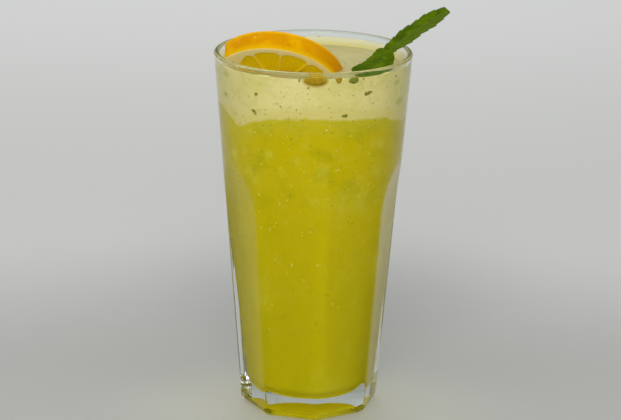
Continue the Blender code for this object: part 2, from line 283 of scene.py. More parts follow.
def addCamera():
    # in front of the glass, turned down and rolled; its lens is sensor * focal length / width, in pixels
    data = bpy.data.cameras.new("camera")
    data.sensor_width = view["sensor"]
    data.lens = view["sensor"] * view["focalPixels"] / view["imageWidth"]
    data.clip_start, data.clip_end = view["near"], view["far"]
    camera = bpy.data.objects.new("camera", data)
    tilt = Matrix.Rotation(math.radians(90 - view["downDeg"]), 4, "X")
    roll = Matrix.Rotation(math.radians(view["rollDeg"]), 4, "Z")
    place = Matrix.Translation((view["sideways"], -view["distance"], view["height"]))
    camera.matrix_world = place @ tilt @ roll
    bpy.context.scene.collection.objects.link(camera)
    bpy.context.scene.camera = camera


studio = {
    "skyLow": (0.34, 0.38, 0.34),
    "skyHigh": (0.95, 0.96, 0.97),
    "highAt": 0.9,
    "skySides": (0.30, 0.31, 0.31),
    "sidesFrom": 0.6, "sidesTo": 0.95, "sidesShare": 0.6,
    "skyStrength": 0.65,
    "aim": Vector((0, 0, 0.09)),
    "lamps": {
        "key": {"at": (-0.1, -1.15, 0.95), "size": 0.8, "watts": 9.0},
        "left": {"at": (-1.1, -0.35, 0.6), "size": 0.7, "watts": 1.7},
        "right": {"at": (1.1, -0.35, 0.6), "size": 0.7, "watts": 1.5},
        "back": {"at": (-0.1, 0.85, 0.95), "size": 1.3, "watts": 5.0, "hidden": True},
    },
    "floorLevel": -0.2 * mm,
    "floorRings": (0.03, 4.0, 24),  # first and last radius, and count
    "floorSteps": 96,
    # floor colours from the front to the back; their rise towards the back is painted light, for the fall of
    # the light
    "floorNear": (0.435, 0.435, 0.418),
    "floorMiddle": (0.585, 0.585, 0.572),
    "floorFar": (0.73, 0.73, 0.725),
    "middleFade": (0.04, 0.25), "farFade": (0.3, 1.0),
    "glow": (0.50, 0.50, 0.445),  # light that the glass gathers on the floor
    "glowSpot": ((0.0, -0.01, 0.0), (0.11, 0.075, 0.1), 0.8),
    "shade": (0.1, 0.1, 0.09),  # the soft shadow behind
    "shadeSpot": ((0.0, 0.13, 0.0), (0.17, 0.16, 0.1)), "shadeShare": 0.22,
}


def addSky():
    # paler upwards, and greyer towards both sides
    world = bpy.data.worlds.new("studio")
    world.use_nodes = True
    bpy.context.scene.world = world
    sky = Nodes(world.node_tree, studio)
    x, y, z = sky.split(sky.add("ShaderNodeTexCoord", out="Generated"))
    colour = sky.mix(sky.ramp(z, 0.0, studio["highAt"]), "skyLow", "skyHigh")
    sides = sky.ramp(abs(x), studio["sidesFrom"], studio["sidesTo"], studio["sidesShare"])
    background = world.node_tree.nodes["Background"]
    plug(background.inputs["Color"], sky.mix(sides, colour, "skySides"))
    plug(background.inputs["Strength"], studio["skyStrength"])


def addLamps():
    # square lamps that look at the middle of the glass; a hidden one isn't seen in it or through it
    for name, values in studio["lamps"].items():
        lamp = bpy.data.lights.new(name, "AREA")
        lamp.energy = values["watts"]
        lamp.size = values["size"]
        obj = bpy.data.objects.new(name, lamp)
        obj.location = values["at"]
        obj.rotation_euler = (studio["aim"] - obj.location).to_track_quat("-Z", "Y").to_euler()
        bpy.context.scene.collection.objects.link(obj)
        if values.get("hidden"):
            obj.visible_transmission = obj.visible_glossy = False


def addFloor():
    # a round floor: rings of points whose radii grow by one factor
    radii = np.concatenate([[0.0], np.geomspace(*studio["floorRings"])])
    rows = turn(np.stack([radii, np.full_like(radii, studio["floorLevel"])], 1), studio["floorSteps"])
    finish = Finish("floor", studio)
    x, y, z = finish.split(finish.place)
    y = y + 0.02 * finish.noise(60.0, 4.0)
    # painted light: the floor is darker at the front and round the glass and paler farther back, for the fall
    # of the light
    colour = finish.mix(finish.fade(y, *studio["middleFade"]), "floorNear", "floorMiddle")
    colour = finish.mix(finish.fade(y, *studio["farFade"]), colour, "floorFar")
    colour = finish.mix(finish.spot(*studio["glowSpot"]), colour, "glow")
    colour = finish.mix(finish.spot(*studio["shadeSpot"]) * studio["shadeShare"], colour, "shade")
    mesh = meshFromRows("floor", rows)
    if mesh.polygons[0].normal.z < 0:
        mesh.flip_normals()
    mesh.materials.append(finish.set(BaseColor=colour, Roughness=0.55))
    floor = bpy.data.objects.new("floor", mesh)
    bpy.context.scene.collection.objects.link(floor)


bpy.context.scene.view_settings.view_transform = "Standard"
addCamera()
addSky()
addLamps()
addFloor()
print("camera, light and floor")

# Tumbler


def floorCorner(inset, count):
    # the rounded corner of the inside, from the wall down to the floor, moved in by inset
    corner, floor = tumbler["floorCorner"], tumbler["floorHeight"]
    lean = math.atan2(tumbler["mouthRadius"] - tumbler["floorRadius"], tumbler["height"] - floor)
    centreRadius = innerRadius(floor + corner * (1 - math.sin(lean))) - corner * math.cos(lean)
    return roundStretch((centreRadius, floor + corner), corner - inset, -math.degrees(lean), -90.0, count)


def softMin(a, b, soft):
    # the lesser of a and b, rounded over where they cross
    blend = np.clip(0.5 + 0.5 * (b - a) / soft, 0, 1)
    return b + (a - b) * blend - soft * blend * (1 - blend)


def panelledRadius(z, angle):
    # the taper, cut by eight planes at panel distance / cosine of the angle from the panel's middle
    radius = outerRadius(z)
    halfWidth = radius * math.sin(math.pi / tumbler["panels"]) - tumbler["ridgeWidth"] / 2
    rise = np.clip((z - tumbler["archFoot"]) / (tumbler["archTop"] - tumbler["archFoot"]), 0, 1.3)
    distance = np.sqrt(np.maximum(radius ** 2 - halfWidth ** 2 * (1 - rise ** 2), 0))
    pitch = 2 * math.pi / tumbler["panels"]
    off = (angle - tumbler["firstRidge"]) % pitch - pitch / 2
    return softMin(radius, distance / np.cos(off), tumbler["ridgeSoftness"])


def tumblerRows():
    # inside floor, wall, lip, outside, foot and hollow as one profile; the outside follows the panels,
    # and the hollow rises as (1 - share squared) to a power
    lipInner, lipOuter = tumbler["mouthRadius"] - tumbler["lipInset"], tumbler["rimRadius"]
    lip = (lipOuter - lipInner) / 2
    lipCentre = ((lipInner + lipOuter) / 2, tumbler["height"] - lip)
    inside = np.concatenate([
        [[radius, tumbler["floorHeight"]] for radius in tumbler["floorRings"]],
        floorCorner(0.0, 12)[::-1],
        [[innerRadius(z), z] for z in np.linspace(*tumbler["wallRows"])],
        roundStretch(lipCentre, lip, 180.0, 10.0, 14)])
    heights = np.concatenate([np.linspace(tumbler["height"] - lip, *tumbler["upperRows"]),
                              np.linspace(*tumbler["archRows"]), np.linspace(*tumbler["panelRows"])])
    outside = np.stack([outerRadius(heights), heights], 1)
    foot = tumbler["footRounding"]
    footTurn = np.radians(np.linspace(0, 90, 10))
    rounding = np.stack([foot * (1 - np.cos(footTurn)), foot * (1 - np.sin(footTurn))], 1)
    share = np.linspace(1.0, 0.0, 16)
    under = np.stack([share, tumbler["hollow"] * (1 - share ** 2) ** tumbler["hollowPower"]], 1)
    profile = np.concatenate([inside, outside, rounding, under])
    ends = np.cumsum([len(inside), len(outside), len(rounding)])
    wall, edge = slice(ends[0], ends[1]), slice(ends[1], ends[2])

    def shape(radius, height, angle):  # from shares to places, stretch by stretch
        radius = radius.copy()
        blend = smoothStep(height[wall], tumbler["roundAbove"], tumbler["panelsBelow"])
        radius[wall] += blend * (panelledRadius(height[wall], angle[wall]) - radius[wall])
        reach = panelledRadius(foot, angle[:1])
        radius[edge] = reach - radius[edge]
        radius[ends[2]:] *= reach - foot - tumbler["standingRing"]
        return radius, height

    return turn(profile, tumbler["stepsAround"], shape)


glassLook = {
    "colour": (0.94, 0.985, 0.945),
    "reflection": (0.42, 0.42, 0.14),
    "forLamps": (0.93, 0.95, 0.94),
    "waveScale": 55.0, "waveHeight": 0.05 * mm,
}


def glassFinish():
    # clear glass for what is seen, and a pale filter for lamps, so that they light the drink
    finish = Finish("clearGlass")
    waves = finish.bump(finish.noise(glassLook["waveScale"], 1.0), glassLook["waveHeight"])
    finish.set(BaseColor=glassLook["colour"], Roughness=0.0, IOR=1.5, TransmissionWeight=1.0,
               SpecularTint=glassLook["reflection"], Normal=waves)
    surface = finish.add("ShaderNodeMixShader", {}, {
        0: finish.add("ShaderNodeLightPath", out="Is Shadow Ray"),
        1: Wire(finish, finish.shader.outputs[0]),
        2: finish.add("ShaderNodeBsdfTransparent", {}, {0: glassLook["forLamps"]})})
    plug(finish.tree.nodes["Material Output"].inputs["Surface"], surface)
    return finish.material


addPiece(meshFromRows("tumbler", tumblerRows()), glassFinish(), "clear_glass", "glass")
print("tumbler")

# Drink and froth. Both reach a little into the wall, so that no air shows between.

drink = {
    "frothBottom": 135.7 * mm,
    "frothTop": 150.2 * mm,
    "filmTop": 153.4 * mm,
    "ripple": 0.5 * mm,
    # where the froth hangs low in the drink: azimuth in degrees, depth, width in radians
    "dips": ((-53.0, 6.0 * mm, 0.24), (85.0, 5.2 * mm, 0.7)),
    # how the froth climbs the wall: reach from the flat top's edge, or back from the wall, and rise
    "climb": np.array(((0.7, 0.25), (1.2, 0.7), (-1.2, 1.3), (-0.8, 1.9), (-0.5, 2.6), (-0.2, 3.1))) * mm,
    "flatShare": 0.93,
    "swell": 0.22 * mm,
    "fineRipple": 0.05 * mm,
    "intoWall": 0.12 * mm,
    "floorRing": 7.0 * mm,
    "steps": 288,
}


def frothLine(angle):
    # height of the line between froth and drink at the wall: two ripples, less a bell for each dip
    waves = np.sin(3 * angle + 0.6) + 0.7 * np.sin(7 * angle + 2.0)
    line = drink["frothBottom"] + drink["ripple"] * waves
    for azimuth, depth, width in drink["dips"]:
        off = np.angle(np.exp(1j * (angle - math.radians(azimuth))))
        line = line - depth * np.exp(-(off / width) ** 2)
    return line


def lineAt(line, share):
    # the surface between drink and froth: level in the middle, and at the wall's line by share cubed
    return drink["frothBottom"] + (line - drink["frothBottom"]) * share ** 3


def drinkRows():
    # the top out to the wall, down the wall, round the corner and over the floor
    into = drink["intoWall"]
    share = np.linspace(0, 1, 16)[:-1]  # the wall's first row is the top's edge
    wallShare = np.linspace(1.0, 0.0, 60)
    corner = floorCorner(-into, 14)
    low, floor = corner[0, 1], corner[-1, 1]
    profile = np.concatenate([np.stack([share, share], 1), np.stack([wallShare, wallShare], 1),
                              corner[1:], [[drink["floorRing"], floor], [0.0, floor]]])
    top, wall = slice(0, len(share)), slice(len(share), len(share) + len(wallShare))

    def shape(radius, height, angle):  # from shares to places, stretch by stretch
        radius, height = radius.copy(), height.copy()
        line = frothLine(angle[:1])
        height[top] = lineAt(line, radius[top])
        radius[top] *= innerRadius(line) + into
        height[wall] = low + (line - low) * height[wall]
        radius[wall] = innerRadius(height[wall]) + into
        return radius, height

    return turn(profile, drink["steps"], shape)


drinkColours = {
    "body": (0.640, 0.508, 0.0006),
    "deep": (0.562, 0.458, 0.0004),
    "glow": (0.185, 0.152, 0.0),  # of the drink's underside, as it shows in the base
    "blotch": (0.505, 0.44, 0.0006),
    "cloud": (0.69, 0.615, 0.05),
    "under": (0.63, 0.545, 0.035),
    "frothLow": (0.77, 0.665, 0.235),
    "froth": (0.90, 0.765, 0.35),
    "frothShade": (0.77, 0.685, 0.235),
    "frothSide": (0.71, 0.645, 0.26),
    "olive": (0.52, 0.50, 0.11),
    "frothTop": (0.53, 0.47, 0.22),
    "frothTopShade": (0.44, 0.405, 0.165),
    "filmLow": (0.66, 0.60, 0.24),
    "filmHigh": (0.72, 0.70, 0.47),
    "smear": (0.46, 0.28, 0.008),
}
# scale, detail and roughness of the patterns
grain = {
    "broad": (34.0, 3.0),
    "middle": (150.0, 4.0, 0.6),
    "fine": (520.0, 2.0),
    "blotch": (85.0, 5.0, 0.62),
    "wisps": (190.0, 4.0, 0.65),
    "finest": (900.0, 3.0),
    "rings": (1.0, 3.0, 0.6),
}
# pale clouds that show in the drink: azimuth in degrees, height and size in mm, strength
clouds = (
    (51.0, 122.5, 3.4, 0.7), (-44.0, 128.0, 2.4, 0.7), (-29.0, 119.5, 3.0, 0.7), (36.0, 101.0, 1.6, 0.7),
    (-30.0, 87.0, 1.0, 0.7), (-31.0, 72.0, 1.0, 0.7), (7.0, 71.0, 1.1, 0.7), (-62.0, 116.0, 4.0, 0.7),
    (8.0, 114.0, 5.0, 0.35))
# olive patches in the froth, most at its sides and back, partly its own tint and partly painted shade: azimuth
# in degrees, height and size in mm
shades = (
    (-63.0, 150.0, 4.0), (-66.0, 141.0, 4.5), (-35.0, 138.0, 3.0), (-22.0, 142.0, 2.2), (60.0, 148.0, 4.0),
    (66.0, 139.0, 5.0), (-57.0, 134.0, 3.5), (140.0, 143.0, 6.0), (-140.0, 146.0, 5.0))
# an ochre smear on the froth at the front: azimuth in degrees and height in mm, and its size
smear = {"at": (1.4, 152.9), "size": (6.4 * mm, 6.0 * mm, 3.7 * mm), "soft": 0.5}


def wallPoint(azimuthDeg, heightMm):  # on the inside of the wall
    z = heightMm * mm
    a = math.radians(azimuthDeg)
    return (innerRadius(z) * math.sin(a), -innerRadius(z) * math.cos(a), z)


def aboveLine(finish):
    # height above the line between froth and drink, the sums of frothLine as a shader
    x, y, z = finish.split(finish.place)
    angle = finish.sum("ARCTAN2", x, -y)
    line = finish.sum("SINE", angle * 3.0 + 0.6) + finish.sum("SINE", angle * 7.0 + 2.0) * 0.7
    line = line * drink["ripple"] + drink["frothBottom"]
    for azimuth, depth, width in drink["dips"]:
        off = finish.sum("PINGPONG", angle - math.radians(azimuth), math.pi) / width
        line = line - finish.sum("EXPONENT", -(off * off)) * depth
    return z - line


def liquidColour(finish):
    # one run of colours for drink and froth: body, paler under the line, froth over it
    x, y, z = finish.split(finish.place)
    broad, middle, fine = (finish.noise(*grain[name]) for name in ("broad", "middle", "fine"))
    colour = finish.mix(finish.fade(z, 0.12, 0.03) * 0.85, "body", "deep")
    upper = finish.fade(z, 0.07, 0.115)  # the drink is more mottled under the froth
    blotch = finish.fade(finish.noise(*grain["blotch"]), 0.46, 0.66) * (0.2 + 0.6 * upper)
    colour = finish.mix(blotch, colour, "blotch")
    cloud = finish.fade(broad, 0.48, 0.78) * 0.34 + finish.fade(middle, 0.5, 0.74) * (0.16 + 0.24 * upper)
    for azimuth, height, size, strength in clouds:
        cloud = cloud + finish.spot(wallPoint(azimuth, height), (size * mm,) * 3, 0.95) * strength
    colour = finish.mix(cloud * (0.6 + 0.8 * middle), colour, "cloud")
    # the colours change at an uneven height
    wander = aboveLine(finish) + (middle - 0.5) * 3.6 * mm + (fine - 0.5) * 1.5 * mm
    colour = finish.mix(finish.fade(wander, -10.0 * mm, -0.5 * mm) * 0.6, colour, "under")
    colour = finish.mix(finish.fade(wander, -0.9 * mm, 0.7 * mm), colour, "frothLow")
    froth = finish.mix(finish.fade(broad + 0.3 * (middle - 0.5), 0.38, 0.66),
                       "froth", "frothShade")
    # painted shade: the froth darkens towards its left and right sides
    froth = finish.mix(finish.fade(abs(x), 20 * mm, 36 * mm) * 0.6, froth, "frothSide")
    wisps = finish.fade(finish.noise(*grain["wisps"]), 0.50, 0.68)
    froth = finish.mix(wisps * 0.22, froth, "olive")
    # olive patches: partly the froth's own tint, partly painted shade at its sides and back
    for azimuth, height, size in shades:
        spot = finish.spot(wallPoint(azimuth, height), (size * mm, size * mm, size * 0.6 * mm))
        froth = finish.mix(finish.fade(spot + middle, 0.65, 1.35) * 0.6, froth, "olive")
    return finish.mix(finish.fade(wander, 1.0 * mm, 7.5 * mm), colour, froth)


def drinkFinish():
    # matt and cloudy; the lowest 3 mm glow, for the light that the base throws back
    finish = Finish("cloudyLemonade", drinkColours)
    x, y, z = finish.split(finish.place)
    under = finish.fade(z, tumbler["floorHeight"] + 3.0 * mm, tumbler["floorHeight"])
    return finish.set(BaseColor=liquidColour(finish), Roughness=0.5, SpecularIORLevel=0.0,
                      EmissionColor=finish.mix(under, (0.0, 0.0, 0.0), "glow"),
                      EmissionStrength=1.0)


def frothRelief(x, y):
    # low swells of the top, as in the solids, with finer ripples: products of sines
    swell = np.sin(x * 260 + 1.0) * np.cos(y * 210 + 0.4) + 0.6 * np.sin((x - y) * 430 + 2.2)
    ripple = np.sin(x * 1500 + 3 * np.sin(y * 700)) * np.sin(y * 1300 + 2 * np.sin(x * 600))
    return drink["swell"] * swell + drink["fineRipple"] * ripple


def frothRows():
    # the flat top, the climb to the film's edge, down the wall and back under to the middle
    into, climb = drink["intoWall"], drink["climb"]
    film = innerRadius(drink["filmTop"])
    topShare = np.linspace(0, drink["flatShare"], 60)
    flat = film * topShare[-1]
    top = np.stack([film * topShare, np.full_like(topShare, drink["frothTop"])], 1)
    riseRadius = np.where(climb[:, 0] > 0, flat, film) + climb[:, 0]
    rise = np.stack([riseRadius, drink["frothTop"] + climb[:, 1]], 1)
    wallShare, share = np.linspace(0.98, 0.0, 20), np.linspace(0.95, 0, 14)
    profile = np.concatenate([top, rise, [[film + into, drink["filmTop"]]],
                              np.stack([wallShare, wallShare], 1), np.stack([share, share], 1)])
    ends = np.cumsum([len(top), len(rise), 1, len(wallShare)])
    middle, edge, wall, under = slice(0, ends[0]), slice(ends[0], ends[1]), slice(ends[2], ends[3]), ends[3]

    def shape(radius, height, angle):  # from shares to places, stretch by stretch
        radius, height = radius.copy(), height.copy()
        line = frothLine(angle[:1])
        x, y = radius[middle] * np.sin(angle[middle]), -radius[middle] * np.cos(angle[middle])
        height[middle] += frothRelief(x, y) * smoothStep(radius[middle], flat, flat * 0.9)
        wobble = 0.25 * mm * np.sin(9 * angle[edge]) + 0.2 * mm * np.sin(23 * angle[edge] + 1.0)
        height[edge] += wobble * np.linspace(0.1, 1, len(rise))[:, None]
        height[wall] = line + (drink["filmTop"] - line) * height[wall]
        radius[wall] = innerRadius(height[wall]) + into
        height[under:] = lineAt(line, radius[under:])
        radius[under:] *= innerRadius(line) + into
        return radius, height

    return turn(profile, drink["steps"], shape)


def frothFinish():
    # fine bubbles; on top, faint rings round the glass's axis; on the wall, a film that pales upwards
    finish = Finish("paleFroth", drinkColours)
    x, y, z = finish.split(finish.place)
    above = z - drink["frothTop"]
    reach = (x * x + y * y) ** 0.5
    fine = finish.noise(*grain["finest"])
    bubbles = finish.fade(finish.cells(1500.0), 0.12, 0.5)
    ringVector = finish.add("ShaderNodeCombineXYZ", {}, {0: reach * 600.0, 1: x * 40.0, 2: y * 40.0})
    rings = finish.noise(*grain["rings"], ringVector)
    top = finish.fade(above, -1.2 * mm, -0.6 * mm)
    wallAtTop = innerRadius(0.15)
    inner = finish.fade(reach, wallAtTop - 0.2 * mm, wallAtTop - 1.0 * mm)
    flat = finish.fade(above, 0.8 * mm, 0.3 * mm)
    topColour = finish.mix(finish.fade(rings, 0.42, 0.7), "frothTop", "frothTopShade")
    colour = finish.mix(top * inner * flat, liquidColour(finish), topColour)
    film = finish.fade(reach - innerRadius(z), -0.02 * mm, -0.15 * mm)
    film = film * finish.fade(above, 0.2 * mm, 0.5 * mm)
    filmColour = finish.mix(finish.fade(above, 0.6 * mm, 2.6 * mm), "filmLow",
                            "filmHigh")
    colour = finish.mix(film, colour, filmColour)
    ochre = finish.spot(wallPoint(*smear["at"]), smear["size"], smear["soft"])
    colour = finish.mix(ochre * (0.75 + 0.5 * fine), colour, "smear")
    height = bubbles * 0.6 + fine * 0.4 + rings * top
    return finish.set(BaseColor=colour, Roughness=0.5, SpecularIORLevel=0.04,
                      SpecularTint=(1.0, 0.93, 0.6), Normal=finish.bump(height, 0.12 * mm, 0.6))


addPiece(meshFromRows("cloudy_lemonade", drinkRows()), drinkFinish(), "lemonade", "lemonade")
addPiece(meshFromRows("froth_head", frothRows()), frothFinish(), "froth", "froth")
print("drink and froth")

# Bits at the wall: leaf flecks, dark specks, orange bits, bubbles and droplets. Each is a small
# lobed lens: a sphere's grid, drawn long, wide and flat along the wall.

# azimuth in degrees, height, half length and half width in mm, tilt in degrees
leafFlecks = (
    (-38.9, 137.2, 1.5, 0.75, -40), (-36.4, 145.0, 0.8, 0.6, 20), (35.0, 146.2, 1.9, 0.8, 12),
    (20.3, 137.3, 1.25, 0.65, 5), (-2.8, 149.7, 0.55, 0.45, 0), (24.6, 152.6, 2.1, 1.5, 8),
    (-8.0, 152.9, 0.9, 0.35, 80), (31.0, 152.6, 0.5, 0.35, 30), (-20.0, 141.0, 0.4, 0.3, 0),
    (58.0, 151.0, 0.5, 0.35, 60), (-66.0, 141.0, 0.5, 0.4, 10), (14.0, 98.0, 0.35, 0.25, 0),
    (150.0, 146.0, 1.4, 0.7, 30), (-130.0, 142.0, 1.2, 0.7, -20), (110.0, 139.0, 1.0, 0.6, 10),
    (-170.0, 150.0, 1.5, 0.8, 5))
orangeBits = (
    (1.6, 153.0, 4.6, 1.8, 0), (15.2, 152.9, 1.25, 1.2, 0), (-4.6, 152.6, 0.7, 0.4, 30),
    (4.0, 151.2, 1.3, 0.5, 12), (175.0, 152.8, 2.0, 0.9, 0))
lens = {"depth": 0.12, "grid": "plain", "flat": 0.35, "corners": 0.75,
        "lobes": (0.16, 0.1), "lobeLimit": 1.2, "fine": (14, 32), "plain": (6, 10)}  # rows and steps of a lens
# strewn bits: count, lowest and highest place, least and greatest half width in mm, and rise, which
# above 1 crowds them low and below 1 high; finish: name, two colours, scale and roughness
bits = {
    "leaf_flecks": {
        "places": leafFlecks, "slot": "mint", "seed": 1, "grid": "fine",
        "finish": ("leafFleck", (0.17, 0.175, 0.018), (0.36, 0.35, 0.05), 900.0, 0.5)},
    "dark_specks": {
        "strewn": dict(count=1900, low=20.0, high=152.5, small=0.09, large=0.25, rise=0.7, seed=3),
        "slot": "mint", "seed": 2,
        "finish": ("darkSpeck", (0.17, 0.15, 0.010), (0.32, 0.29, 0.014), 300.0, 0.5)},
    "orange_bits": {
        "places": orangeBits, "slot": "orange", "seed": 4, "grid": "fine",
        "finish": ("orangeBit", (0.36, 0.22, 0.005), (0.50, 0.31, 0.01), 500.0, 0.5)},
    "froth_bubbles": {
        "strewn": dict(count=420, low=131.0, high=152.5, small=0.12, large=0.42, rise=0.8, seed=5),
        "slot": "froth", "seed": 5,
        "finish": ("frothBubble", (0.84, 0.77, 0.42), (0.74, 0.68, 0.28), 400.0, 0.5)},
    "drink_bubbles": {
        "strewn": dict(count=460, low=25.0, high=131.0, small=0.12, large=0.46, rise=0.5, seed=8),
        "slot": "lemonade", "seed": 6,
        "finish": ("drinkBubble", (0.74, 0.66, 0.12), (0.64, 0.56, 0.03), 300.0, 0.5)},
    "wall_droplets": {
        "strewn": dict(count=26, low=153.1, high=153.8, small=0.10, large=0.22, rise=2.2, seed=12),
        "slot": "froth", "seed": 7, "depth": 0.02,
        "finish": ("wallDroplet", (0.80, 0.76, 0.50), (0.72, 0.68, 0.36), 400.0, 0.25)},
}


def lensMesh(name, places, depth, seed, grid):
    # centre + length * sin(theta) cos(phi) + width * sin(theta) sin(phi) + out * cos(theta), with lobes
    places = np.asarray(places, dtype=float)
    azimuth, z = np.radians(places[:, 0]), places[:, 1] * mm
    radius = innerRadius(z) + depth * mm
    outward = np.stack([np.sin(azimuth), -np.cos(azimuth), np.zeros_like(z)], 1)
    centre = outward * radius[:, None]
    centre[:, 2] = z
    level = np.stack([np.cos(azimuth), np.sin(azimuth), np.zeros_like(z)], 1)
    tilt = np.radians(places[:, 4])[:, None]
    lengthWay = level * np.cos(tilt) + np.array([0.0, 0.0, 1.0]) * np.sin(tilt)
    widthWay = np.cross(outward, lengthWay)
    size = places[:, 2:4] * mm
    phase = np.random.default_rng(seed).uniform(0, 2 * math.pi, (len(places), 2))
    rows, around = lens[grid]
    theta = np.linspace(0, math.pi, rows)[:, None]
    phi = np.linspace(0, 2 * math.pi, around, endpoint=False)[None, :]
    cosine, sine = (np.sign(v) * np.abs(v) ** lens["corners"] for v in (np.cos(phi), np.sin(phi)))
    broad, fine = lens["lobes"]
    lobes = broad * np.sin(3 * phi + phase[:, :1, None]) + fine * np.sin(5 * phi + phase[:, 1:, None])
    lobes = 1 + lobes * np.minimum(1, lens["lobeLimit"] / places[:, 2])[:, None, None]
    a = (np.sin(theta) * cosine)[None] * lobes * size[:, 0, None, None]
    b = (np.sin(theta) * sine)[None] * lobes * size[:, 1, None, None]
    c = np.cos(theta)[None] * lens["flat"] * size.min(1)[:, None, None] * np.ones_like(lobes)
    points = (centre[:, None, None] + a[..., None] * lengthWay[:, None, None]
              + b[..., None] * widthWay[:, None, None] + c[..., None] * outward[:, None, None])
    # the quads of one lens, and its caps as quads with a doubled corner, moved on for each lens
    one = np.arange(rows * around).reshape(rows, around)
    after = np.roll(one, -1, axis=1)
    first, last = np.full(around, one[0, 0]), np.full(around, one[-1, 0])
    sides = np.stack([one[1:-2], one[2:-1], after[2:-1], after[1:-2]], -1).reshape(-1, 4)
    caps = np.concatenate([np.stack([first, first, one[1], after[1]], -1),
                           np.stack([last, last, after[-2], one[-2]], -1)])
    starts = (np.arange(len(places)) * rows * around)[:, None, None]
    quads = np.concatenate([(part[None] + starts).reshape(-1, 4) for part in (sides, caps)])
    return meshFromQuads(name, points.reshape(-1, 3), quads)


def strewn(count, low, high, small, large, rise, seed):
    # seeded places round the wall: height by a random share to the power rise, size by one to 2.5
    random = np.random.default_rng(seed)
    share = random.uniform(0, 1, count) ** rise
    size = small + (large - small) * random.uniform(0, 1, count) ** 2.5
    return np.stack([random.uniform(-180, 180, count), low + (high - low) * share,
                     size * random.uniform(1.0, 1.7, count), size, random.uniform(0, 180, count)], 1)


def bitFinish(name, first, second, scale, rough):
    # two colours in patches, with a grain three times as fine
    finish = Finish(name)
    colour = finish.mix(finish.fade(finish.noise(scale, 3.0), 0.35, 0.65), first, second)
    return finish.set(BaseColor=colour, Roughness=rough, SpecularIORLevel=0.1,
                      Normal=finish.bump(finish.noise(scale * 3, 2.0), 0.05 * mm))


for name, bit in bits.items():
    places = bit["places"] if "places" in bit else strewn(**bit["strewn"])
    depth, grid = (bit.get(key, lens[key]) for key in ("depth", "grid"))
    mesh = lensMesh(name, places, depth, bit["seed"], grid)
    addPiece(mesh, bitFinish(*bit["finish"]), bit["slot"])
print("bits at the wall")

# Orange slice

wheel = {
    "radius": 28.3 * mm,
    "thickness": 9.3 * mm,
    "centre": np.array([-14.6, -1.6, 144.4]) * mm,
    "face": np.array([-0.12, -0.74, -0.66]),  # the way its front face looks
    "left": -36.9 * mm,  # its straight side
    "fromWall": 0.3 * mm,
    "bulge": 0.7 * mm,
    "edge": 0.9 * mm,  # rounding between face and peel
    "segments": 12,
    "firstSkin": math.radians(79.5),
    "skinHalf": 0.32 * mm,
    "fleshShare": 0.87,
    "scallop": 2.2 * mm,
    "scallopReach": 3.4 * mm,
    "thickPith": [math.radians(a) for a in (108, 140, 160, 178)],  # where the pith is thicker
    "pithMore": 4.5 * mm,
    "sink": 0.42 * mm,  # of the flesh below the skins
    "sacs": 0.07 * mm,
    "core": (2.0 * mm, 3.2 * mm),
    "faceRows": 60, "cornerRows": 7, "rimRows": 24,
    "stepsAround": 540,
    "pores": 900,
    "poreSize": 0.42 * mm,
    "poreDepth": 0.09 * mm,
}


def wheelAxes():
    # right, up and out of the wheel's front face
    out = unit(wheel["face"])
    up = unit(np.array([0, 0, 1.0]) - out * out[2])
    return np.cross(up, out), up, out


def wheelLimit(angle, height):
    # how far the wheel may reach: to its straight left side and to the wall, by halving
    right, up, out = wheelAxes()
    way = np.cos(angle)[..., None] * right + np.sin(angle)[..., None] * up
    start = wheel["centre"] + height[..., None] * out
    low, high = np.zeros_like(angle), np.full_like(angle, 60 * mm)
    for _ in range(24):
        middle = (low + high) / 2
        place = start + way * middle[..., None]
        inside = (place[..., 0] > wheel["left"]) & (
            np.hypot(place[..., 0], place[..., 1]) < innerRadius(place[..., 2]) - wheel["fromWall"])
        low, high = np.where(inside, middle, low), np.where(inside, high, middle)
    return low


